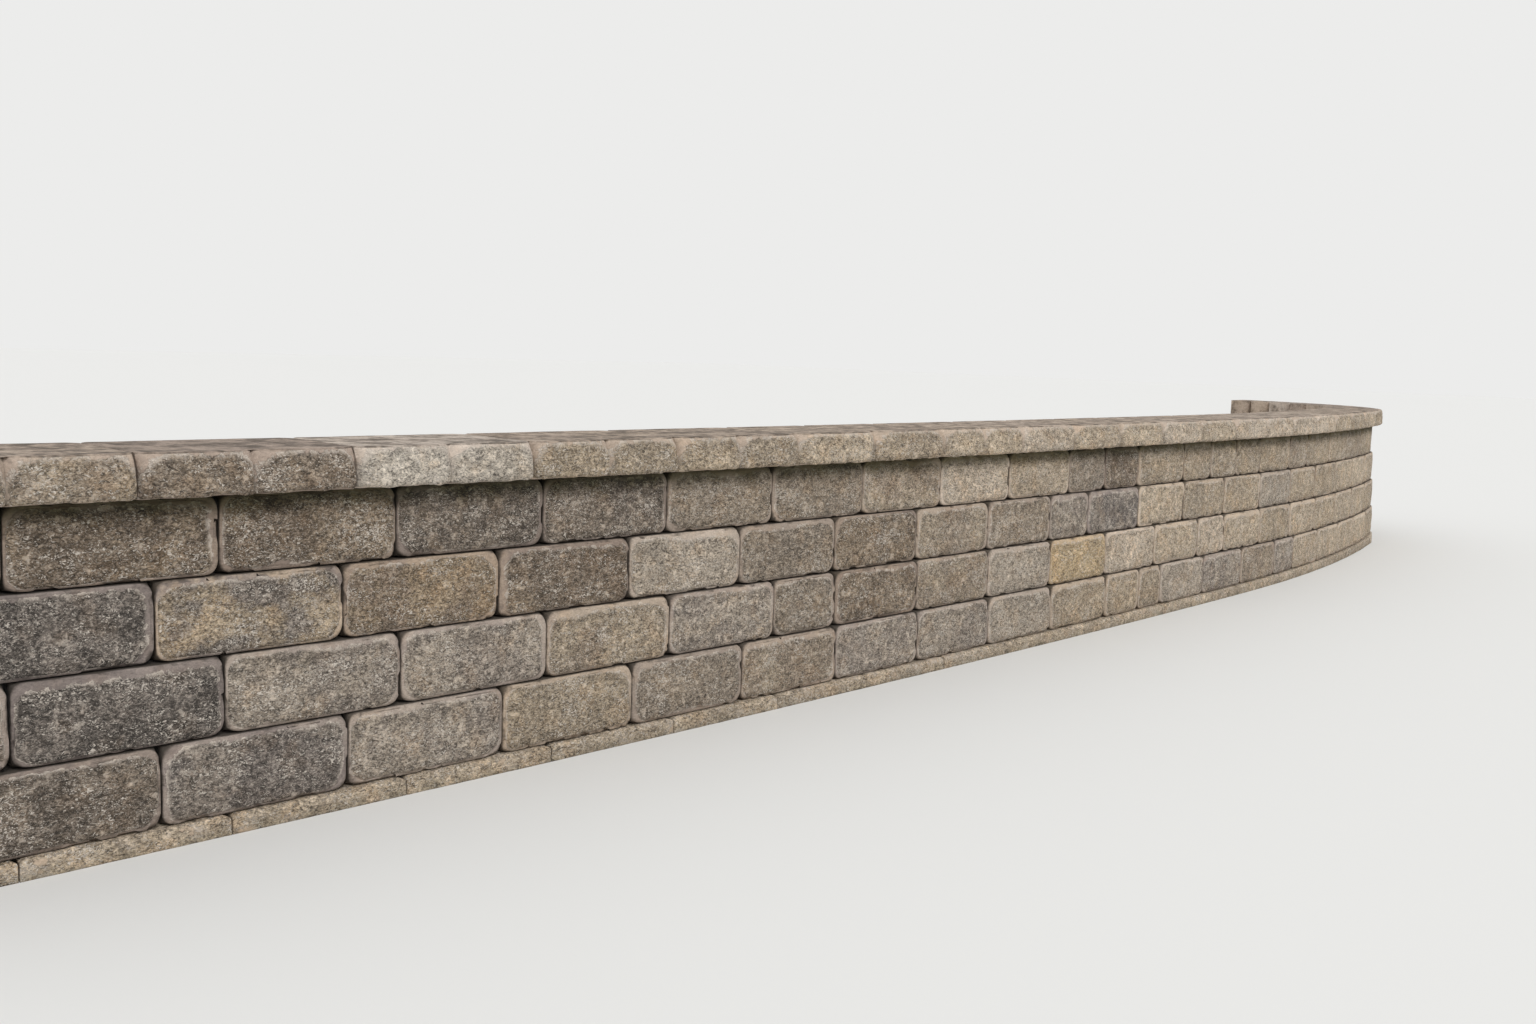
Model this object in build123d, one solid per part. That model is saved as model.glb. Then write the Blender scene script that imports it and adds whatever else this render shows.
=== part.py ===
from build123d import *
import math
import os

# Dry-laid block retaining wall: a nearly buried base course, four courses of
# tumbled concrete blocks in running bond, each set back a little, and a coping.
# Lengths in millimetres, angles in degrees. +Z is up. The long run goes along
# +X with its face towards -Y, and the wall bends back towards +Y at its far end.

# Plan of the face line, measured at the foot of the first course
start_heading = -2.4
run_length = 5261.0
run_radius = 71000.0
bend_length = 2370.0
bend_radius = 12200.0
end_length = 1500.0
end_radius = 1000.0

# Block units: length along the face, with the joint included
long_unit = 381.0
middle_unit = 254.0
short_unit = 178.0
joint_gap = 2.0

# Wall section
course_count = 4
course_height = 152.4
block_depth = 254.0
setback = 10.0
side_taper = 7.5
corner = 22.0
arris = 11.0

# Base course: only its top stands above the ground
base_height = 38.0
base_setback = -10.0
base_arris = 8.0

# Coping units: a double unit shows two faces with a false joint between them
coping_height = 86.0
coping_depth = 305.0
coping_overhang = 50.0
double_unit = 436.0
single_unit = 330.0
half_unit = 218.0
cut_unit = 163.0
coping_gap = 2.5
coping_arris = 4.0
back_clip = 18.0

# Clips that narrow each coping face from its foot to its top
clip_width_foot = 8.0
clip_width_top = 40.0
clip_depth_top = 20.0

# Bays: blocks are sorted into these lengths of the wall by their middle, and
# the last bay takes what is left
bay_count = 5
bay_length = 1830.0

total_length = run_length + bend_length + end_length
segments = [(run_length, run_radius), (bend_length, bend_radius), (end_length, end_radius)]
coping_setback = (course_count - 1) * setback - coping_overhang
clip_depth_foot = clip_depth_top * clip_width_foot / clip_width_top


def face_line(s):
    """Point and heading on the face line at length s from the near end."""
    x, y, heading = 0.0, 0.0, math.radians(start_heading)
    for length, radius in segments:
        step = min(s, length)
        turn = step / radius
        chord = 2 * radius * math.sin(turn / 2)
        x += chord * math.cos(heading + turn / 2)
        y += chord * math.sin(heading + turn / 2)
        heading += turn
        s -= step
        if s <= 0:
            break
    return x, y, heading


def radius_at(s):
    """Radius of the face line at length s."""
    if s < run_length:
        return run_radius
    if s < run_length + bend_length:
        return bend_radius
    return end_radius


def behind(s, inset):
    """Point at length s, set back from the face line towards the bank."""
    x, y, heading = face_line(s)
    return x - inset * math.sin(heading), y + inset * math.cos(heading)


def joints(units, end_unit, inset):
    """Lengths of a course's joints; the units that close the wall are cut to fit."""
    marks = [0.0]
    while marks[-1] < total_length:
        s = marks[-1]
        unit = units[(len(marks) - 1) % len(units)]
        if s + unit / 2 > run_length + bend_length:
            unit = end_unit
        step = unit / (1 - inset / radius_at(s + unit / 2))
        left = total_length - s
        if left < step * 1.02:
            step = left
        elif left < step * 1.6:
            step = left / 2
        marks.append(s + step)
    return marks


def polygon(outline, height):
    """Flat face on a plan outline at a height."""
    return Face(Wire.make_polygon([(x, y, height) for x, y in outline]))


def chord(first, last, inset, gap):
    """Middle of the chord between two joints, its direction and half its length."""
    ax, ay = behind(first, inset)
    bx, by = behind(last, inset)
    span = math.hypot(bx - ax, by - ay)
    middle = ((ax + bx) / 2, (ay + by) / 2)
    return middle, ((bx - ax) / span, (by - ay) / span), (span - gap) / 2


def placed(middle, along, points):
    """Plan points given along the chord and back from it, moved to their place."""
    (mx, my), (ux, uy) = middle, along
    return [(mx + u * ux - v * uy, my + u * uy + v * ux) for u, v in points]


def frustum(foot, top):
    """Flat-sided solid between two rings of points that are parallel side for side."""
    faces = [Face(Wire.make_polygon(foot)), Face(Wire.make_polygon(top))]
    for i in range(len(foot)):
        faces.append(Face(Wire.make_polygon([foot[i - 1], foot[i], top[i], top[i - 1]])))
    return Solid(Shell(faces))


def block(first, last, inset, bottom):
    """Tumbled wedge block: rounded corners, and arrises knocked off front and back."""
    middle, along, half = chord(first, last, inset, joint_gap)
    tail = half - block_depth * math.tan(math.radians(side_taper))
    corners = [(-half, 0), (half, 0), (tail, block_depth), (-tail, block_depth)]
    face = polygon(placed(middle, along, corners), bottom)
    solid = extrude(face, amount=course_height, dir=(0, 0, 1))
    back = Vector(-along[1], along[0], 0)
    solid = chamfer(solid.edges().filter_by(lambda e: abs((e % 0.5).dot(back)) > 0.9), corner)
    ends = solid.faces().sort_by(lambda f: f.center().dot(back))
    return chamfer(ends[0].edges() + ends[-1].edges(), arris)


def base_block(first, last):
    """Top of a block of the base course, cut off level with the ground."""
    middle, along, half = chord(first, last, base_setback, joint_gap)
    tail = half - block_depth * math.tan(math.radians(side_taper))
    corners = [(-half, 0), (half, 0), (tail, block_depth), (-tail, block_depth)]
    solid = extrude(polygon(placed(middle, along, corners), 0), amount=base_height, dir=(0, 0, 1))
    return chamfer(solid.faces().sort_by(Axis.Z)[-1].edges(), base_arris)


def coping_block(first, last, bottom):
    """Coping unit with one or two faces, each between a pair of slanting clips."""
    middle, along, half = chord(first, last, coping_setback, coping_gap)
    turn = face_line(last)[2] - face_line(first)[2]
    tail = half - coping_depth * math.tan(turn / 2)
    c = back_clip
    corners = [(-half, 0), (half, 0), (tail, coping_depth - c), (tail - c, coping_depth)]
    corners += [(c - tail, coping_depth), (-tail, coping_depth - c)]
    face = polygon(placed(middle, along, corners), bottom)
    solid = extrude(face, amount=coping_height, dir=(0, 0, 1))
    face_count = 2 if half > 0.8 * half_unit else 1
    for i in range(face_count + 1):
        u = half * (2 * i / face_count - 1)
        rings = []
        for z, width, depth in (
            (bottom, clip_width_foot, clip_depth_foot),
            (bottom + coping_height, clip_width_top, clip_depth_top),
        ):
            notch = [(u - width, 0), (u - width, -1), (u + width, -1), (u + width, 0), (u, depth)]
            rings.append([(x, y, z) for x, y in placed(middle, along, notch)])
        solid -= frustum(*rings)
    return chamfer(solid.faces().sort_by(Axis.Z)[-1].edges(), coping_arris)


# Running bond: the units of four courses in order from the near end, after
# which the order begins again; round the end only middle units are laid
L, M, S = long_unit, middle_unit, short_unit
bond = [
    [M] + [L] * 10 + [M, S, L, L, L, M] + [L] * 9,
    [L] * 6 + [M] + [L] * 6 + [M] + [L] * 12,
    [M] + [L] * 9 + [M] + [L] * 14,
    [L] * 10 + [M, M, L, M, M, M, L, M] + [L] * 9,
]

# Coping: it starts with a cut unit, so that its joints miss those below, and goes
# over to single units towards the bend
coping_units = [cut_unit] + [double_unit] * 5 + [single_unit] * 2 + [double_unit] + [single_unit] * 20

bays = {}


def add(name, first, last, solid):
    """Keep a solid in the bay that its middle falls in."""
    bay = min(int((first + last) / 2 / bay_length) + 1, bay_count)
    bays.setdefault(f"{name}_bay_{bay}", []).append(solid)


# Base course
marks = joints([L], M, base_setback)
for first, last in zip(marks, marks[1:]):
    add("base_course", first, last, base_block(first, last))

# Block courses, each on the one below and set back from it
for course in range(course_count):
    inset = course * setback
    bottom = base_height + course * course_height
    marks = joints(bond[course % len(bond)], M, inset)
    for first, last in zip(marks, marks[1:]):
        add(f"course_{course + 1}", first, last, block(first, last, inset, bottom))

# Coping, with half units round the end
coping_bottom = base_height + course_count * course_height
marks = joints(coping_units, half_unit, coping_setback)
for first, last in zip(marks, marks[1:]):
    add("coping", first, last, coping_block(first, last, coping_bottom))

# Origin: middle of the bounding box, on the ground
box = Compound([solid for solids in bays.values() for solid in solids]).bounding_box()
origin = Location((-(box.min.X + box.max.X) / 2, -(box.min.Y + box.max.Y) / 2, 0))

os.makedirs("parts", exist_ok=True)
for name, solids in bays.items():
    export_step(Compound([solid.moved(origin) for solid in solids]), f"parts/{name}.step")
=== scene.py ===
# Block retaining wall: tumbled concrete blocks laid dry in four set-back courses
# on a nearly buried base course, under a coping of rough-fronted units.
import math
import random

import bmesh
import bpy
from mathutils import Matrix, Vector, noise


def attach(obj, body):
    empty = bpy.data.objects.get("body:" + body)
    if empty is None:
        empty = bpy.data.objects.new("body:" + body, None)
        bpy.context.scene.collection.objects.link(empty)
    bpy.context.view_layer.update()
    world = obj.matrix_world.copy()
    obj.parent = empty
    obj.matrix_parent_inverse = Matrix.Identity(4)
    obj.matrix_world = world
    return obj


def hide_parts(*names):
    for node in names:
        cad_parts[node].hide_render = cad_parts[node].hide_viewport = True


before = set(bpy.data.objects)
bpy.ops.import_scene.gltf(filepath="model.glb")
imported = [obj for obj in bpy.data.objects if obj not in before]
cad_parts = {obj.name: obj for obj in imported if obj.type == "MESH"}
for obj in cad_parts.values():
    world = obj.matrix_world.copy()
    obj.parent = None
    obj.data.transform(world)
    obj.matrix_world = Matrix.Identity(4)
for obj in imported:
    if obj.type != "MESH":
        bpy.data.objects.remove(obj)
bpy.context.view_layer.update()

# Base course: the concrete blocks that carry the wall, bedded level in a trench. They
# stand a little proud of the first course, and only their tops and a strip of their
# fronts are above the ground.
base_height = 0.038
base_inset = -0.010
base_seed = 900
block_depth = 0.254
side_taper = math.radians(7.5)
long_unit = 0.381
middle_unit = 0.254
joint_gap = 0.002

# It is set out on the face line, at the foot of the first course: a long run, a bend
# and a tight end. A place on the line is its length from the near end, at line_start.
line_start = (-4.2008, -0.6641)
line_heading = math.radians(-2.4)
run_length, run_radius = 5.261, 71.0
bend_length, bend_radius = 2.37, 12.2
end_length, end_radius = 1.50, 1.0
legs = [(run_length, run_radius), (bend_length, bend_radius), (end_length, end_radius)]
before_end = run_length + bend_length
wall_length = before_end + end_length


def line_at(mark):
    """Point and heading of the face line at length s."""
    x, y = line_start
    heading = line_heading
    for length, radius in legs:
        step = min(mark, length)
        turn = step / radius
        chord = 2 * radius * math.sin(turn / 2)
        x += chord * math.cos(heading + turn / 2)
        y += chord * math.sin(heading + turn / 2)
        heading += turn
        mark -= step
        if mark <= 0:
            break
    return x, y, heading


def radius_at(mark):
    """Radius of the face line at length s."""
    if mark < run_length:
        return run_radius
    if mark < before_end:
        return bend_radius
    return end_radius


# What is left at the end of a course is laid as one unit if it is no longer than the
# first of these times a unit, and as two equal ones up to the second.
one_left = 1.02
two_left = 1.6


def joints(units, end_unit, inset):
    """Lengths of a course's joints, with the units that close the wall cut to fit."""
    marks = [0.0]
    while marks[-1] < wall_length:
        mark = marks[-1]
        unit = units[(len(marks) - 1) % len(units)]
        if mark + unit / 2 > before_end:
            unit = end_unit
        step = unit / (1 - inset / radius_at(mark + unit / 2))
        left = wall_length - mark
        if left < step * one_left:
            step = left
        elif left < step * two_left:
            step = left / 2
        marks.append(mark + step)
    return marks


def seat(first, last, inset, gap):
    """Frame of a unit between two joints, at the middle of its front edge, and half its length."""
    ends = []
    for mark in (first, last):
        x, y, heading = line_at(mark)
        ends.append(Vector((x - inset * math.sin(heading), y + inset * math.cos(heading), 0)))
    along = ends[1] - ends[0]
    half = (along.length - gap) / 2
    turn = Matrix.Rotation(math.atan2(along.y, along.x), 4, "Z")
    return Matrix.Translation((ends[0] + ends[1]) / 2) @ turn, half


# A unit starts as a cube that is cut into a net: lines at the rims, the distances in
# from each edge, and even cells between. The front, as deep as front_reach, is cut
# finer where its edges are longer than longest_edge.
front_reach = 0.0075
longest_edge = 0.0105
finer_cuts = 3
tiny = 1e-6


def net(half, depth, height, cell, rims):
    """Cube of size 2 cut into the net of a unit, with the attributes that its look reads."""
    bm = bmesh.new()
    bmesh.ops.create_cube(bm, size=2)
    for axis, size in enumerate((2 * half, depth, height)):
        reach = rims[axis][-1]
        count = max(1, round((size - 2 * reach) / cell[axis]))
        inner = [reach + (size - 2 * reach) * i / count for i in range(1, count)]
        cuts = list(rims[axis]) + inner + [size - rim for rim in rims[axis]]
        normal = Vector([float(i == axis) for i in range(3)])
        for cut in sorted(cuts):
            geometry = bm.verts[:] + bm.edges[:] + bm.faces[:]
            place = normal * (2 * cut / size - 1)
            bmesh.ops.bisect_plane(bm, geom=geometry, dist=tiny, plane_co=place, plane_no=normal)
    in_front = {vert for vert in bm.verts if vert.co.y < 2 * front_reach / depth - 1}
    scale = Vector((half, depth / 2, height / 2))
    wide = []
    for edge in bm.edges:
        run = (edge.verts[1].co - edge.verts[0].co) * scale
        if edge.verts[0] in in_front and edge.verts[1] in in_front and run.length > longest_edge:
            wide.append(edge)
    bmesh.ops.subdivide_edges(bm, edges=wide, cuts=finer_cuts, use_grid_fill=True)
    for name in ("tint", "cloud"):
        bm.verts.layers.float_color.new(name)
    for name in ("lot", "inside", "sunk"):
        bm.verts.layers.float.new(name)
    return bm


def fading(distance, reach):
    """Share that falls evenly from 1 at no distance to 0 at the reach."""
    return max(0.0, 1 - distance / reach)


# Cast stone is uneven at several sizes at once. Each is given as how close its noise
# is, in waves to the metre, and how far it goes.
def ripple(place, waves):
    """Unevenness about 0 at a place."""
    return sum(amount * noise.noise(place * scale) for scale, amount in waves)


def relief(place, waves):
    """Unevenness from 0 up at a place, as a surface is worn inwards."""
    return sum(amount * (1 + noise.noise(place * scale)) for scale, amount in waves)


noise_reach = 40


def shifted(draw, axes):
    """Shift of the noise along the first axes, so that no two units are alike."""
    moves = [draw.uniform(-noise_reach, noise_reach) for i in range(axes)]
    return Vector(moves + [0.0] * (3 - axes))


# The net of a base block: its upper arrises are knocked off, and its sides lean in a
# little towards the top.
end_rims = (0.003, 0.007, 0.012, 0.018, 0.028)
depth_rims = (0.003, 0.007, 0.012, 0.03)
base_rims = [end_rims, depth_rims, (0.003, 0.008, 0.015)]
base_cell = (0.012, 0.05, 0.012)
base_arris = 0.007
base_wear = [(30, 0.003)]
base_top_relief = [(40, 0.0012)]
base_front_relief = [(25, 0.0012)]
base_front_reach = 0.03
base_lean = 0.004
base_within = 0.010
base_patches = [(20, 0.012)]


def shape_base(bm, half, seed):
    """Bend a net into the top of a base block, cut off level with the ground."""
    offset = shifted(random.Random(seed), 2)
    inside = bm.verts.layers.float["inside"]
    for vert in bm.verts:
        back = (vert.co.y + 1) / 2 * block_depth
        half_width = half - back * math.tan(side_taper)
        rough = Vector((vert.co.x * half_width, back, vert.co.z * base_height)) + offset
        x = vert.co.x * half_width
        z = (vert.co.z + 1) / 2 * base_height
        up = z / base_height
        arris = base_arris + ripple(rough, base_wear)
        at_edge = fading(min(back, half_width - abs(x)), arris) * fading(base_height - z, arris)
        knocked_off = at_edge * arris / 2
        drop = knocked_off + relief(rough, base_top_relief) * up
        push = relief(rough, base_front_relief) * fading(back, base_front_reach) + knocked_off
        vert.co = Vector((x * (1 - base_lean * up), back + push, z - drop))
        vert[inside] = base_within + ripple(rough, base_patches)


# Colours: the blends that the units are cast in, each a body colour and the colour
# that clouds it, written as they look in soft daylight.
def colour(red, green, blue):
    """Colour written as 0 to 255, as linear light."""
    return [((c / 255 + 0.055) / 1.055) ** 2.4 for c in (red, green, blue)] + [1.0]


blends = {
    "charcoal": (colour(86, 80, 75), colour(110, 102, 95)),
    "plum": (colour(102, 92, 82), colour(122, 110, 97)),
    "slate": (colour(108, 100, 94), colour(130, 120, 110)),
    "umber": (colour(112, 98, 83), colour(132, 116, 97)),
    "walnut": (colour(127, 113, 98), colour(140, 125, 108)),
    "rust": (colour(150, 131, 107), colour(124, 108, 92)),
    "grey": (colour(138, 127, 116), colour(152, 140, 126)),
    "taupe": (colour(143, 129, 112), colour(132, 120, 106)),
    "tan": (colour(158, 143, 123), colour(144, 129, 112)),
    "buff": (colour(170, 153, 130), colour(156, 141, 121)),
    "burnt": (colour(172, 154, 130), colour(108, 99, 91)),
    "gold": (colour(190, 166, 129), colour(172, 152, 121)),
    "ash": (colour(170, 157, 141), colour(156, 144, 129)),
    "sand": (colour(186, 169, 146), colour(170, 154, 133)),
    "pale": (colour(196, 180, 160), colour(182, 166, 146)),
    "chalk": (colour(194, 184, 170), colour(178, 168, 154)),
}
base_blend = "sand"
shade_range = (0.93, 1.07)
lot_range = (0, 60)


def colour_block(bm, blend, seed):
    """Give a unit its colours, with a shade of its own, and its own place in the noise."""
    draw = random.Random(seed * 7 + 3)
    shade = draw.uniform(*shade_range)
    for name, tone in zip(("tint", "cloud"), blends[blend]):
        layer = bm.verts.layers.float_color[name]
        value = Vector([c * shade for c in tone[:3]] + [1.0])
        for vert in bm.verts:
            vert[layer] = value
    lot = bm.verts.layers.float["lot"]
    place = draw.uniform(*lot_range)
    for vert in bm.verts:
        vert[lot] = place


# Nodes that the looks are made of, under short names.
def add(tree, kind, links=None, **settings):
    """New node: settings by name, then input sockets by name or number, linked or set."""
    made = tree.nodes.new("ShaderNode" + kind)
    for label, value in settings.items():
        setattr(made, label, value)
    for socket, value in (links or {}).items():
        if isinstance(value, bpy.types.NodeSocket):
            tree.links.new(value, made.inputs[socket])
        else:
            made.inputs[socket].default_value = value
    return made


def worked(tree, operation, first, second=0.0):
    """Value worked out from one or two sockets or numbers."""
    return add(tree, "Math", {0: first, 1: second}, operation=operation).outputs[0]


def plus(tree, first, second):
    """Sum of two values."""
    return worked(tree, "ADD", first, second)


def minus(tree, first, second):
    """First value less the second."""
    return worked(tree, "SUBTRACT", first, second)


def times(tree, first, second):
    """Product of two values."""
    return worked(tree, "MULTIPLY", first, second)


def swing(tree, value, amount):
    """Noise brought to swing about 0, by up to half the amount either way."""
    return times(tree, minus(tree, value, 0.5), amount)


def ramp(tree, value, low, high):
    """Value that goes smoothly from 0 at low to 1 at high."""
    links = {"Value": value, "From Min": low, "From Max": high}
    return add(tree, "MapRange", links, interpolation_type="SMOOTHSTEP").outputs[0]


def scaled(tree, value, low, high):
    """Value of 0 to 1 brought between two numbers."""
    return add(tree, "MapRange", {"Value": value, "To Min": low, "To Max": high}).outputs[0]


def placed(tree, operation, place, change):
    """Place that is moved or stretched by a vector."""
    return add(tree, "VectorMath", {0: place, 1: change}, operation=operation).outputs[0]


def noisy(tree, place, scale, detail, roughness=0.5, distortion=0.0):
    """Value of noise around 0.5."""
    links = {"Vector": place, "Scale": scale, "Detail": detail}
    links.update({"Roughness": roughness, "Distortion": distortion})
    return add(tree, "TexNoise", links).outputs[0]


def mixed(tree, blend, amount, first, second):
    """Colour of two mixed."""
    links = {0: amount, 6: first, 7: second}
    made = add(tree, "Mix", links, data_type="RGBA", blend_type=blend, clamp_factor=True)
    return made.outputs[2]


def laid_over(tree, mask, share, under, over):
    """Colour of one over the other, in a share of where the mask is."""
    return mixed(tree, "MIX", times(tree, mask, share), under, over)


def toned(tree, base, tone):
    """Colour made lighter or darker by a value near 1."""
    grey = add(tree, "CombineColor", {0: tone, 1: tone, 2: tone}).outputs[0]
    return mixed(tree, "MULTIPLY", 1.0, base, grey)


# Cast grain, shared by all the units: sand that is a little wider than it is high, pale
# flecks and scratches, and dark pits, some of them crowded together.
grain = bpy.data.node_groups.new("cast_grain", "ShaderNodeTree")
grain.interface.new_socket("Place", in_out="INPUT", socket_type="NodeSocketVector")
for label in ("Fleck", "Pit", "Grain", "Height"):
    grain.interface.new_socket(label, in_out="OUTPUT", socket_type="NodeSocketFloat")
given = grain.nodes.new("NodeGroupInput")
result = grain.nodes.new("NodeGroupOutput")
grain_stretch = (1.0, 1.0, 1.6)
pit_shift = (11.0, 5.0, 3.0)
drawn = placed(grain, "MULTIPLY", given.outputs["Place"], grain_stretch)
apart = placed(grain, "ADD", drawn, pit_shift)
fine = noisy(grain, drawn, scale=240.0, detail=3.0, roughness=0.7)
coarse = noisy(grain, drawn, scale=82.0, detail=4.0, roughness=0.7, distortion=1.2)
spots = noisy(grain, drawn, scale=150.0, detail=2.0, distortion=1.5)
worms = noisy(grain, drawn, scale=75.0, detail=1.0, distortion=0.8)
holes = noisy(grain, apart, scale=120.0, detail=1.0)
crowded = noisy(grain, apart, scale=13.0, detail=2.0)

fleck_crowding, fleck_range = 0.35, (0.745, 0.84)
pit_crowding, pit_range = 0.2, (0.50, 0.64)
scratch_width, scratch_spots, scratch_share = (0.020, 0.004), (0.50, 0.60), 0.8
fleck = ramp(grain, plus(grain, spots, times(grain, crowded, fleck_crowding)), *fleck_range)
pit = ramp(grain, minus(grain, holes, times(grain, crowded, pit_crowding)), *pit_range)
along_worm = ramp(grain, worked(grain, "ABSOLUTE", minus(grain, worms, 0.5)), *scratch_width)
scratch = times(grain, along_worm, ramp(grain, spots, *scratch_spots))
fleck = worked(grain, "MAXIMUM", fleck, times(grain, scratch, scratch_share))

fine_height, coarse_height, fleck_height, pit_height = 0.6, 1.5, 0.35, 0.5
fine_tone, coarse_tone = 0.4, 0.6
body = plus(grain, times(grain, fine, fine_height), times(grain, coarse, coarse_height))
lifted = plus(grain, body, times(grain, fleck, fleck_height))
raised = minus(grain, lifted, times(grain, pit, pit_height))
sand = plus(grain, times(grain, fine, fine_tone), times(grain, coarse, coarse_tone))
for label, value in (("Fleck", fleck), ("Pit", pit), ("Grain", sand), ("Height", raised)):
    grain.links.new(value, result.inputs[label])

# Cast stone: a clouded rough face of grain in the unit's two colours, a smooth rim that
# was rubbed in the drum, with a pale crest between them that is partly chipped edge and
# partly painted highlight, and painted shade with some dirt in the joints. A range is where
# in the noise or depth a look comes in, and a share is how much of it.
cloud_range, cloud_ragged = (0.44, 0.58), 0.35
warm_tint, warm_range, warm_share = (1.11, 0.98, 0.84, 1.0), (0.50, 0.66), 0.45
cool_tint, cool_range, cool_share = (0.94, 0.96, 0.99, 1.0), (0.48, 0.34), 0.5
rim_patch_tones, rim_grain_tones = (0.75, 1.45), (0.0, 2.0)
# The face darkens towards its rim as painted shade.
face_patch_tones, face_edge_shade_range, face_edge_shade_tones = (0.14, 1.86), (0.0, 0.04), (0.86, 1.05)
pale_sand, pale_range, pale_share = colour(200, 188, 175), (0.49, 0.62), 0.95
pale_tone, pale_sameness = 2.05, 0.34
dark_sand, dark_range, dark_share = colour(52, 48, 44), (0.51, 0.40), 0.86
dark_tone, dark_sameness = 0.30, 0.45
fleck_colour, fleck_share = colour(224, 214, 202), 0.85
pit_colour, pit_share = colour(62, 56, 50), 0.45
chip_colour, chip_range, chip_share, chip_sameness = colour(222, 210, 196), (0.60, 0.69), 0.55, 0.45
# The crest is partly pale chipped edge and partly painted highlight along the border of the rough face.
crest_chip_and_highlight_colour, crest_chip_and_highlight_range, crest_chip_and_highlight_share = colour(224, 211, 198), (0.010, 0.002), 0.72
crest_chip_and_highlight_patches = (0.44, 0.56)
border_range, border_wander, border_jagged = (-0.0015, 0.0015), 0.045, 0.02
# Painted shade with some dirt: the surface darkens the deeper it lies in a joint or corner, and on the
# coping's top.
shade_and_dirt_colour, shade_and_dirt_range, shade_and_dirt_share = colour(48, 44, 38), (0.0055, 0.0160), 0.82
shade_and_dirt_patches, shade_and_dirt_hues = 0.017, 0.018
# Painted shadow under the coping, tinted green for algae; the base course darkens towards the ground.
shadow_and_stain_tint, shadow_and_stain_wander = colour(120, 124, 100), 0.05
grain_depth, rim_strength, face_strength, face_step = 0.0036, 0.35, 1.0, 0.5
stone_roughness = 0.9
stone_shine = 0.25


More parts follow.
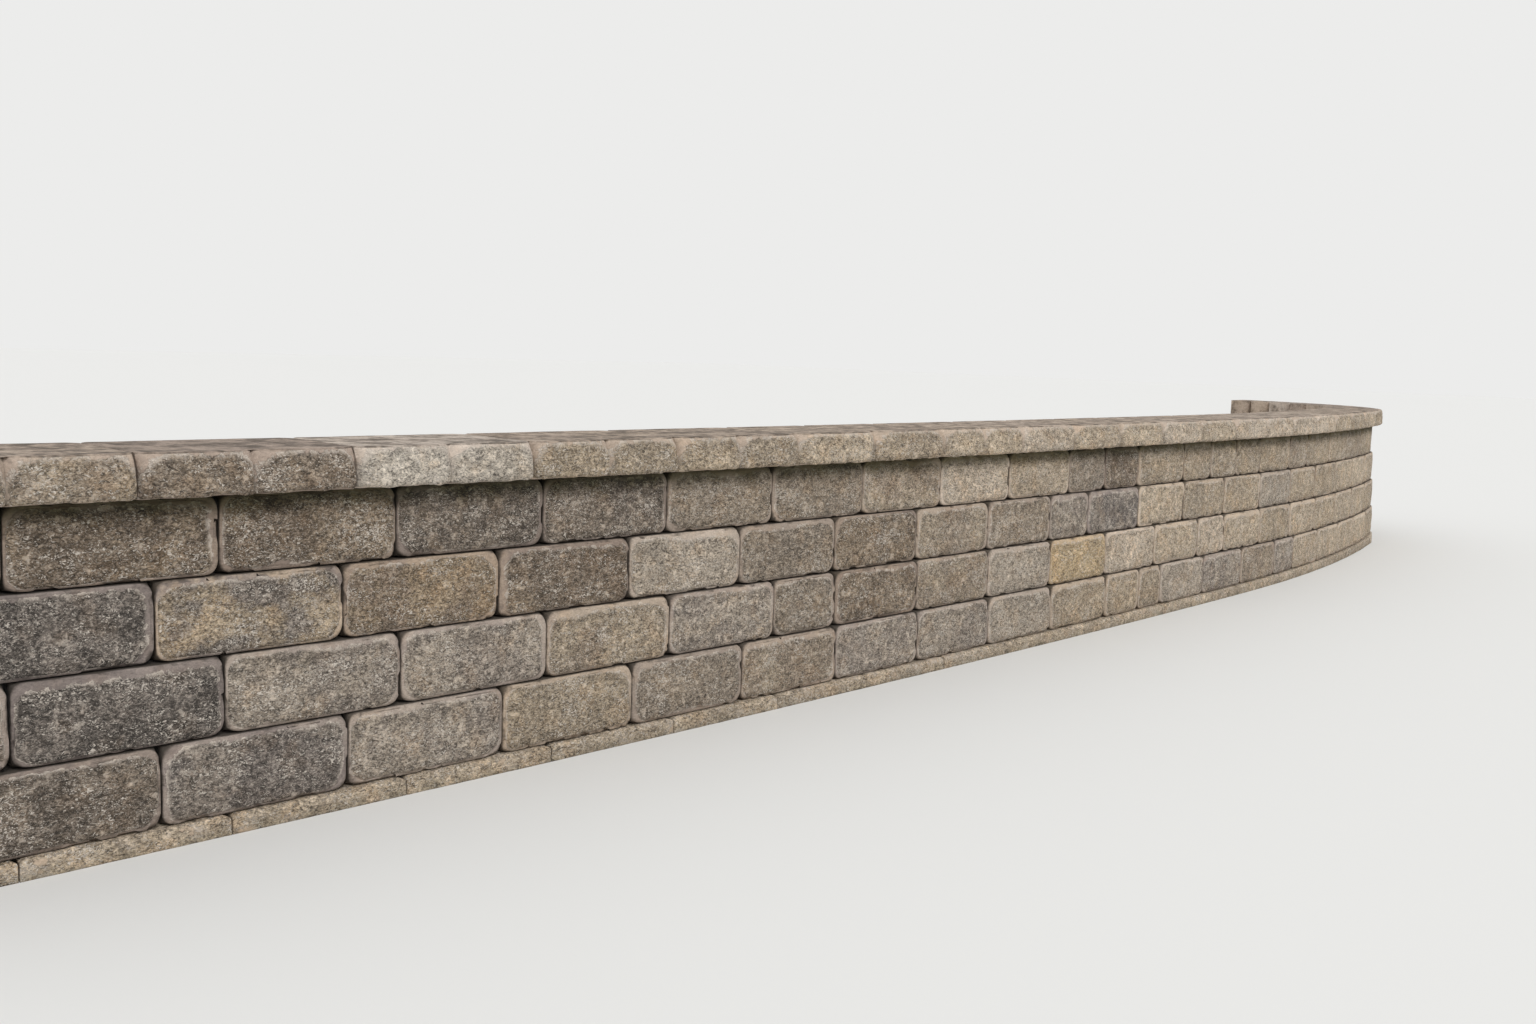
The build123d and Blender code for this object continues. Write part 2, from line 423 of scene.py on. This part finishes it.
def stone(name, smooth, rim_share, shadow_and_stain=None):
    """Material of cast stone, whose rim takes the smooth colour in a share.

    The last argument gives the heights between which the stone darkens, and by how much:
    painted shadow tinted green for algae under the coping, and darker towards the ground on
    the base course."""
    material = bpy.data.materials.new(name)
    material.use_nodes = True
    tree = material.node_tree
    shader = tree.nodes["Principled BSDF"]
    read = {}
    for label in ("tint", "cloud", "lot", "inside", "sunk"):
        read[label] = add(tree, "Attribute", attribute_name=label)
    inside = read["inside"].outputs["Fac"]
    own = add(tree, "TexCoord").outputs["Object"]
    lot = add(tree, "CombineXYZ", {i: read["lot"].outputs["Fac"] for i in range(3)}).outputs[0]
    place = placed(tree, "ADD", own, lot)
    clouds = noisy(tree, place, scale=6.0, detail=3.0, distortion=0.7)
    hues = noisy(tree, place, scale=17.0, detail=3.0)
    patches = noisy(tree, place, scale=48.0, detail=4.0, roughness=0.6)
    cast = add(tree, "Group", {"Place": place}, node_tree=grain).outputs

    clouded = ramp(tree, plus(tree, clouds, swing(tree, patches, cloud_ragged)), *cloud_range)
    base = mixed(tree, "MIX", clouded, read["tint"].outputs["Color"], read["cloud"].outputs["Color"])
    warmed = mixed(tree, "MULTIPLY", 1.0, base, warm_tint)
    base = laid_over(tree, ramp(tree, hues, *warm_range), warm_share, base, warmed)
    cooled = mixed(tree, "MULTIPLY", 1.0, base, cool_tint)
    base = laid_over(tree, ramp(tree, hues, *cool_range), cool_share, base, cooled)

    rim = toned(tree, base, scaled(tree, patches, *rim_patch_tones))
    rim = mixed(tree, "MIX", rim_share, rim, smooth)
    rim = toned(tree, rim, scaled(tree, cast["Grain"], *rim_grain_tones))

    face = toned(tree, base, scaled(tree, patches, *face_patch_tones))
    # Painted shade: the face darker towards its rim.
    shade_from_edge = ramp(tree, inside, *face_edge_shade_range)
    face = toned(tree, face, scaled(tree, shade_from_edge, *face_edge_shade_tones))
    pale = mixed(tree, "MIX", pale_sameness, toned(tree, face, pale_tone), pale_sand)
    face = laid_over(tree, ramp(tree, cast["Grain"], *pale_range), pale_share, face, pale)
    dark = mixed(tree, "MIX", dark_sameness, toned(tree, face, dark_tone), dark_sand)
    face = laid_over(tree, ramp(tree, cast["Grain"], *dark_range), dark_share, face, dark)
    face = laid_over(tree, cast["Fleck"], fleck_share, face, fleck_colour)
    face = laid_over(tree, cast["Pit"], pit_share, face, pit_colour)
    chip = mixed(tree, "MIX", chip_sameness, pale, chip_colour)
    face = laid_over(tree, ramp(tree, patches, *chip_range), chip_share, face, chip)

    wander = plus(tree, swing(tree, patches, border_wander), swing(tree, cast["Grain"], border_jagged))
    from_rim = plus(tree, inside, wander)
    # Painted highlight, partly pale chipped edge, along the border of the rough face.
    crest_chip_and_highlight = times(tree, ramp(tree, from_rim, *crest_chip_and_highlight_range), ramp(tree, patches, *crest_chip_and_highlight_patches))
    face = laid_over(tree, crest_chip_and_highlight, crest_chip_and_highlight_share, face, crest_chip_and_highlight_colour)
    rough = ramp(tree, from_rim, *border_range)
    base = mixed(tree, "MIX", rough, rim, face)

    # Painted shade with some dirt in the joints, the corners and on the coping's top, by how deep the
    # surface lies.
    uneven = plus(tree, swing(tree, patches, shade_and_dirt_patches), swing(tree, hues, shade_and_dirt_hues))
    deep = ramp(tree, plus(tree, read["sunk"].outputs["Fac"], uneven), *shade_and_dirt_range)
    base = laid_over(tree, deep, shade_and_dirt_share, base, shade_and_dirt_colour)
    # Painted shadow under the coping with a green algae tint; on the base course, darker towards the
    # ground.
    if shadow_and_stain:
        low, high, shade = shadow_and_stain
        z = add(tree, "SeparateXYZ", {0: own}).outputs[2]
        shadow_and_stain_mask = ramp(tree, plus(tree, z, swing(tree, hues, shadow_and_stain_wander)), low, high)
        base = laid_over(tree, shadow_and_stain_mask, shade, base, mixed(tree, "MULTIPLY", 1.0, base, shadow_and_stain_tint))

    strength = scaled(tree, rough, rim_strength, face_strength)
    stepped = plus(tree, cast["Height"], times(tree, rough, face_step))
    bump = add(tree, "Bump", {"Height": stepped, "Strength": strength, "Distance": grain_depth})
    tree.links.new(base, shader.inputs["Base Color"])
    tree.links.new(bump.outputs[0], shader.inputs["Normal"])
    shader.inputs["Roughness"].default_value = stone_roughness
    shader.inputs["Specular IOR Level"].default_value = stone_shine
    return material


# The wall is made in bays: a piece holds the units of one course whose middles fall in
# one length of the wall, and the last bay takes what is left.
bay_count = 5
bay_length = 1.83


def into_bay(bays, name, first, last, bm, place):
    """Set a unit at its place and join it to the others of its bay."""
    bay = min(int((first + last) / 2 / bay_length) + 1, bay_count)
    node = f"{name}_bay_{bay}"
    if node not in bays:
        bays[node] = bmesh.new()
    bm.transform(place)
    part = bpy.data.meshes.new("unit")
    bm.to_mesh(part)
    bm.free()
    bays[node].from_mesh(part)
    bpy.data.meshes.remove(part)


def lay_bays(bays, material):
    """Make a piece of each bay, in place of its CAD node."""
    for node, bm in bays.items():
        mesh = bpy.data.meshes.new(node + "_stone")
        bm.to_mesh(mesh)
        bm.free()
        mesh.polygons.foreach_set("use_smooth", [True] * len(mesh.polygons))
        mesh.materials.append(material)
        piece = bpy.data.objects.new(node + "_stone", mesh)
        bpy.context.collection.objects.link(piece)
        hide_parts(node)
        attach(piece, "root")


bays = {}
marks = joints([long_unit], middle_unit, base_inset)
for number, (first, last) in enumerate(zip(marks, marks[1:])):
    place, half = seat(first, last, base_inset, joint_gap)
    bm = net(half, block_depth, base_height, base_cell, base_rims)
    shape_base(bm, half, base_seed + number)
    colour_block(bm, base_blend, base_seed + number)
    into_bay(bays, "base_course", first, last, bm, place)
base_smooth = colour(184, 162, 144)
base_damp = (0.02, 0.0, 0.3)
base_stone = stone("base_stone", base_smooth, rim_share=0.5, shadow_and_stain=base_damp)
lay_bays(bays, base_stone)

# Block courses: four courses of tumbled concrete blocks, laid dry in running bond with
# a few shorter ones, each course set back from the one below. A block is a wedge that
# narrows to the back, and its corners and arrises were worn round in a drum.
course_count = 4
course_height = 0.1524
setback = 0.010
short_unit = 0.178
course_seeds = 100
block_rims = [end_rims, depth_rims, end_rims]
block_cell = (0.025, 0.06, 0.025)
roundness = 2.0
tight_corner = 0.005
worn_corner = (0.035, 0.053)
corner_reach = 0.030
touching = 0.016
bevel_width, bevel_width_wear, widest_bevel = 0.0110, 0.0035, 0.019
bevel_fall, bevel_fall_wear = 0.0065, 0.0020
bevel_wear_scale = 16
chip_depth, chip_limit, chip_scale, chip_fall = 0.02, 0.25, 27, 0.4
edge_on = 0.01
on_back = 0.5
outermost = 0.999

# A block's face is rough and swells to its middle, its back rougher, its sides plain.
block_relief = [(9, 0.0012), (26, 0.0013), (65, 0.0009)]
block_swell = (0.001, 0.0035)
gouge_depth, gouge_limit, gouge_scale, gouge_shift = 0.004, 0.45, 14, 7
side_relief_share = 0.1
back_relief_share = 2.5

# The smooth rim of a face is wider at its top than at its foot, and wanders.
side_rim = (-0.004, 0.013)
foot_rim = (-0.008, 0.003)
top_rim = (0.004, 0.018)
rim_reach = 0.05
rim_wander = [(10, 0.013), (28, 0.005)]
rim_step, rim_step_width = 0.0012, 0.004
all_rim = -0.02


def tumbled(x, z, back, half_width, half_height, corner, bevel):
    """Section point of a block, bent round its long edges and the bevels of its ends.

    Returns the point, the outward direction and the distance in from the sides."""
    in_x = abs(x) - (half_width - corner)
    in_z = abs(z) - (half_height - corner)
    if in_x > 0 and in_z > 0:
        reach = math.hypot(in_x, in_z)
        squared = max(in_x, in_z)
        out_x, out_z = in_x / reach, in_z / reach
        x = math.copysign(half_width - corner + out_x * squared, x)
        z = math.copysign(half_height - corner + out_z * squared, z)
        from_side = corner - squared
    elif in_x > in_z:
        out_x, out_z = 1.0, 0.0
        from_side = corner - in_x
    else:
        out_x, out_z = 0.0, 1.0
        from_side = corner - in_z
    out_x = math.copysign(out_x, x)
    out_z = math.copysign(out_z, z)
    from_end = min(back, block_depth - back)
    facing = -1.0 if back < block_depth / 2 else 1.0
    width, fall = bevel
    if from_side < width and from_end < fall:
        side = 1 - from_side / width
        end = 1 - from_end / fall
        reach = (side ** roundness + end ** roundness) ** (1 / roundness)
        squared = max(side, end)
        side, end = side / reach * squared, end / reach * squared
        slip = width * (1 - side) - from_side
        x -= out_x * slip
        z -= out_z * slip
        from_end = fall * (1 - end)
        out_side = side ** (roundness - 1) / width
        out_end = end ** (roundness - 1) / fall
        outward = Vector((out_x * out_side, facing * out_end, out_z * out_side)).normalized()
        from_side = width * (1 - side)
    elif from_end < tiny:
        outward = Vector((0.0, facing, 0.0))
    else:
        outward = Vector((out_x, 0.0, out_z))
        from_side = 0.0
    y = from_end if facing < 0 else block_depth - from_end
    return Vector((x, y, z)), outward, from_side


def shape_block(bm, half, straight, open_side, seed):
    """Bend a net round a wedge block, and chip and roughen it.

    The corners of the face are worn round, and run out into tight ones behind it. In a
    straight run the sides touch at the front before they taper. The open side, -1, 0 or
    1, is the one that shows at an end of the wall, with no painted joint shade or dirt on it."""
    draw = random.Random(seed)
    offset = shifted(draw, 3)
    face_corners = [draw.uniform(*worn_corner) for i in range(4)]
    swell = draw.uniform(*block_swell)
    rim_left = draw.uniform(*side_rim)
    rim_right = draw.uniform(*side_rim)
    rim_foot = draw.uniform(*foot_rim)
    rim_top = draw.uniform(*top_rim)
    inside = bm.verts.layers.float["inside"]
    sunk = bm.verts.layers.float["sunk"]
    half_height = course_height / 2
    for vert in bm.verts:
        back = (vert.co.y + 1) / 2 * block_depth
        half_width = half - max(0.0, back - touching * straight) * math.tan(side_taper)
        shows = open_side * vert.co.x > outermost
        x, z = vert.co.x * half_width, vert.co.z * half_height
        rough = Vector((x, back, z)) + offset
        worn = noise.noise(rough * bevel_wear_scale)
        chip = max(0.0, noise.noise(rough * chip_scale) - chip_limit) * chip_depth
        width = min(bevel_width + bevel_width_wear * worn + chip, widest_bevel)
        fall = bevel_fall + bevel_fall_wear * worn + chip * chip_fall
        running_out = fading(min(back, block_depth - back), corner_reach) ** 1.5
        corner = face_corners[(x > 0) + 2 * (z > 0)]
        corner = tight_corner + (corner - tight_corner) * running_out
        point, outward, from_side = tumbled(x, z, back, half_width, half_height, corner, (width, fall))
        on_side = abs(outward.y) < edge_on
        inwards = relief(rough, block_relief)
        if on_side:
            inwards *= side_relief_share
        else:
            inwards += swell * max(abs(x) / half_width, abs(z) / half_height) ** 3
            gouge = noise.noise(rough * gouge_scale + Vector([gouge_shift] * 3))
            inwards += gouge_depth * max(0.0, gouge - gouge_limit)
        if outward.y > on_back:
            inwards *= back_relief_share
        to_end = fading(half_width - abs(x), rim_reach) ** 2
        to_top = fading(half_height - abs(z), rim_reach) ** 2
        at_end = (rim_left + rim_right) / 2 + (rim_right - rim_left) / 2 * x / half_width
        at_top = (rim_foot + rim_top) / 2 + (rim_top - rim_foot) / 2 * z / half_height
        rim = (at_end * to_end + at_top * to_top) / (to_end + to_top + tiny)
        rim += ripple(rough, rim_wander)
        vert[inside] = all_rim if on_side else from_side - rim
        inwards += rim_step * fading(max(0.0, vert[inside]), rim_step_width)
        vert.co = point - outward * inwards
        vert.co.z += half_height
        # How deep the surface lies from the front or back, which the look darkens as painted shade with
        # some dirt.
        vert[sunk] = 0.0 if shows else min(point.y, block_depth - point.y)


# The bond of each course, and the blends of its blocks in order from the near end, as
# far as they were told apart. Those beyond take turns in a mix that skips about.
L, M, S = long_unit, middle_unit, short_unit
bond = [
    [M] + [L] * 10 + [M, S, L, L, L, M] + [L] * 9,
    [L] * 6 + [M] + [L] * 6 + [M] + [L] * 12,
    [M] + [L] * 9 + [M] + [L] * 14,
    [L] * 10 + [M, M, L, M, M, M, L, M] + [L] * 9,
]
laid = [
    "umber plum slate grey buff taupe tan grey grey ash buff buff buff ash grey tan grey "
    "sand sand sand sand buff",
    "grey charcoal grey grey tan grey taupe umber tan ash gold pale sand pale sand buff sand "
    "buff sand sand buff",
    "taupe charcoal burnt rust umber ash taupe umber tan taupe grey slate sand buff buff ash "
    "buff buff sand sand sand",
    "taupe umber umber plum plum taupe taupe tan pale sand taupe umber buff buff buff buff "
    "buff tan buff buff tan buff",
]
# Towards the far end the blends are lighter, partly the blocks' own colour and partly painted light for
# the brighter light on the far part of the wall.
beyond = "sand tan buff ash tan sand buff taupe pale tan".split()
skip_along, skip_up = 7, 3
block_smooth = colour(200, 183, 176)
# The top of the last course darkens as painted shadow under the coping, tinted green for algae.
overhang_shadow_and_algae = (0.590, 0.642, 0.95)
bays = {}
for course in range(course_count):
    inset = course * setback
    marks = joints(bond[course], middle_unit, inset)
    named = laid[course].split()
    for number, (first, last) in enumerate(zip(marks, marks[1:])):
        place, half = seat(first, last, inset, joint_gap)
        place = place @ Matrix.Translation((0, 0, base_height + course * course_height))
        bm = net(half, block_depth, course_height, block_cell, block_rims)
        straight = (first + last) / 2 < before_end
        open_side = (last == marks[-1]) - (first == 0)
        shape_block(bm, half, straight, open_side, course * course_seeds + number)
        blend = beyond[(number * skip_along + course * skip_up) % len(beyond)]
        if number < len(named):
            blend = named[number]
        colour_block(bm, blend, course * course_seeds + number)
        into_bay(bays, f"course_{course + 1}", first, last, bm, place)
block_stone = stone("block_stone", block_smooth, rim_share=0.22, shadow_and_stain=overhang_shadow_and_algae)
lay_bays(bays, block_stone)

# Coping: concrete units with a rough face and a smooth top, laid over the last course
# and out beyond its face. A double unit shows two faces with a false joint between them,
# and every face is clipped back towards its ends, the more the higher.
coping_bottom = base_height + course_count * course_height
coping_height = 0.086
coping_depth = 0.305
coping_overhang = 0.050
coping_inset = (course_count - 1) * setback - coping_overhang
coping_gap = 0.0025
coping_seed = 500
cut_unit = 0.163
half_unit = 0.218
single_unit = 0.330
double_unit = 0.436
two_faced = 0.8
back_clip = 0.018
coping_rims = [(0.0025, 0.006, 0.011, 0.018), (0.004, 0.009, 0.015, 0.022, 0.031), (0.003, 0.008, 0.015)]
coping_cell = (0.017, 0.045, 0.017)

# The clips leave a shoulder at each end of a face, with its least and greatest width and
# height. They start a little in from the end and down from the top, and the rough face
# reaches nearer to its ends at its foot.
left_shoulder = ((0.038, 0.078), (0.042, 0.072))
right_shoulder = ((0.028, 0.060), (0.036, 0.066))
foot_margin, top_margin = 0.004, 0.005
foot_within = 0.009
shoulder_slope = 1.5
shoulder_wander = [(30, 0.004), (80, 0.002)]
clip_fall = 1.3

# The face is rougher than a block's, most of all along its foot, and swells to its
# middle. Arrises and false joints are worn back.
coping_relief = [(11, 0.0028), (26, 0.0034), (65, 0.0022)]
coping_swell, coping_swell_reach = 0.007, 0.035
face_reach = 0.07
foot_reach = 0.014
foot_relief = [(30, 0.005), (75, 0.003)]
foot_lift, foot_lift_swing, foot_lift_scale = 0.003, 1.4, 38
end_arris, end_arris_reach = 0.006, 0.011
groove_depth, groove_reach = 0.003, 0.006
top_relief = [(20, 0.0004)]
top_arris, top_arris_reach = 0.003, 0.012

# How deep the painted shade and dirt count on the top, at the sides and in a false joint. The top is
# darkened as painted shade, so that it looks no lighter than the face under the light from above, with
# some dirt.
top_shade_and_dirt = 0.0112
side_shade_and_dirt, side_shade_and_dirt_from = 0.0082, 0.02
groove_shade_and_dirt = 0.0095


def shape_coping(bm, half, turn, seed):
    """Bend a net into a coping unit, whose ends turn from each other by an angle."""
    draw = random.Random(seed)
    faces = 2 if half > two_faced * half_unit else 1
    face_ends = [half * (2 * i / faces - 1) for i in range(faces + 1)]
    shoulders = []
    for i in range(faces):
        for widths, heights in (left_shoulder, right_shoulder):
            shoulders.append((draw.uniform(*widths), draw.uniform(*heights)))
    offset = shifted(draw, 3)
    inside = bm.verts.layers.float["inside"]
    sunk = bm.verts.layers.float["sunk"]
    for vert in bm.verts:
        back = (vert.co.y + 1) / 2 * coping_depth
        half_width = half - back * math.tan(turn / 2)
        half_width -= max(0.0, back - (coping_depth - back_clip))
        x = vert.co.x * half_width
        up = (vert.co.z + 1) / 2
        z = up * coping_height
        rough = Vector((x, back, z)) + offset
        near_front = fading(back, face_reach)
        nearest, side = min((abs(x - end), 2 * i - (x < end)) for i, end in enumerate(face_ends))
        width, height = shoulders[min(max(side, 0), 2 * faces - 1)]
        out_x = max(0.0, (width - nearest) / (width - foot_margin))
        out_z = fading(coping_height - top_margin - z, height)
        past_shoulder = (math.hypot(out_x, out_z) - 1) * (width + height) / 2 / shoulder_slope
        within = ripple(rough, shoulder_wander) - past_shoulder
        clip = max(0.0, -within) * clip_fall
        at_foot = fading(z, foot_reach) ** 2
        face = relief(rough, coping_relief) + at_foot * relief(rough, foot_relief)
        swell = coping_swell * fading(max(0.0, within), coping_swell_reach) ** 2
        arris = end_arris * fading(half - abs(vert.co.x) * half, end_arris_reach) ** 2
        groove = fading(nearest, groove_reach) * near_front
        push = (face + clip + swell + arris + groove_depth * groove) * near_front ** 2
        on_top = up > outermost
        drop = (relief(rough, top_relief) + top_arris * fading(back, top_arris_reach) ** 2) * on_top
        lift = foot_lift * (1 + foot_lift_swing * noise.noise(rough * foot_lift_scale))
        lift = max(0.0, lift * at_foot * near_front ** 2)
        vert.co = Vector((x, back + push, z - drop + lift))
        on_face = back < tiny
        vert[inside] = within + foot_within * (1 - up) if on_face else all_rim
        # Painted shade with some dirt: on the sides and in the false joints, and over the whole top.
        vert[sunk] = side_shade_and_dirt if back > side_shade_and_dirt_from else groove_shade_and_dirt * groove
        if on_top:
            vert[sunk] = top_shade_and_dirt


# The units in order from the near end, and their blends
coping_units = [cut_unit] + [double_unit] * 5 + [single_unit] * 2 + [double_unit] + [single_unit] * 20
# Towards the far end the blends are lighter, partly the units' own colour and partly painted light for
# the brighter light on the far part of the wall.
coping_blends = (
    "tan tan walnut chalk buff buff sand buff sand pale sand sand pale sand pale pale pale "
    "pale sand sand sand buff tan"
).split()
coping_smooth = colour(188, 170, 158)
bays = {}
marks = joints(coping_units, half_unit, coping_inset)
for number, (first, last) in enumerate(zip(marks, marks[1:])):
    place, half = seat(first, last, coping_inset, coping_gap)
    place = place @ Matrix.Translation((0, 0, coping_bottom))
    turn = line_at(last)[2] - line_at(first)[2]
    bm = net(half, coping_depth, coping_height, coping_cell, coping_rims)
    shape_coping(bm, half, turn, coping_seed + number)
    colour_block(bm, coping_blends[number % len(coping_blends)], coping_seed + number)
    into_bay(bays, "coping", first, last, bm, place)
coping_stone = stone("coping_stone", coping_smooth, rim_share=0.5)
lay_bays(bays, coping_stone)

# Floor and light: a plain pale floor, an even sky that shows as a pale backdrop, and
# a soft high sun.
floor_size = 60
floor_colour = colour(221, 221, 219)
floor_roughness = 0.95
floor_mesh = bpy.data.meshes.new("floor")
bm = bmesh.new()
bmesh.ops.create_grid(bm, x_segments=1, y_segments=1, size=floor_size)
bm.to_mesh(floor_mesh)
bm.free()
floor = bpy.data.objects.new("floor", floor_mesh)
bpy.context.collection.objects.link(floor)
floor_look = bpy.data.materials.new("floor")
floor_look.use_nodes = True
floor_shader = floor_look.node_tree.nodes["Principled BSDF"]
floor_shader.inputs["Base Color"].default_value = floor_colour
floor_shader.inputs["Roughness"].default_value = floor_roughness
floor_mesh.materials.append(floor_look)

sky_colour, sky_strength = colour(248, 248, 248), 0.9
backdrop_colour = colour(236, 236, 235)
world = bpy.data.worlds.new("sky")
bpy.context.scene.world = world
world.use_nodes = True
sky = world.node_tree
lit = add(sky, "Background", {"Color": sky_colour, "Strength": sky_strength})
seen = add(sky, "Background", {"Color": backdrop_colour, "Strength": 1.0})
path = add(sky, "LightPath")
shown = add(sky, "MixShader", {0: path.outputs["Is Camera Ray"], 1: lit.outputs[0], 2: seen.outputs[0]})
sky.links.new(shown.outputs[0], sky.nodes["World Output"].inputs["Surface"])

sun_strength = 1.2
sun_width = math.radians(25)
sun_from_above, sun_turn = math.radians(38), math.radians(-20)
sun_data = bpy.data.lights.new("sun", "SUN")
sun_data.energy = sun_strength
sun_data.angle = sun_width
sun = bpy.data.objects.new("sun", sun_data)
sun.rotation_euler = (sun_from_above, 0, sun_turn)
bpy.context.collection.objects.link(sun)

# Camera: at eye height near the wall's near end, looking along it. Its place is given
# from the start of the face line, and its heading from straight along +X.
camera_left, camera_front, camera_height = 0.551, 2.563, 0.952
camera_heading = 41.99
camera_down = 0.1118
camera_lean = 0.033
camera_data = bpy.data.cameras.new("camera")
camera_data.sensor_width = 36.0
camera_data.lens = 33.87
camera = bpy.data.objects.new("camera", camera_data)
bpy.context.collection.objects.link(camera)
stand_x, stand_y = line_start[0] - camera_left, line_start[1] - camera_front
stand = Matrix.Translation((stand_x, stand_y, camera_height))
yaw = Matrix.Rotation(math.radians(camera_heading - 90), 4, "Z")
pitch = Matrix.Rotation(math.pi / 2 - camera_down, 4, "X")
roll = Matrix.Rotation(camera_lean, 4, "Z")
camera.matrix_world = stand @ yaw @ pitch @ roll
bpy.context.scene.camera = camera

bpy.context.scene.view_settings.view_transform = "Standard"

bpy.context.view_layer.update()
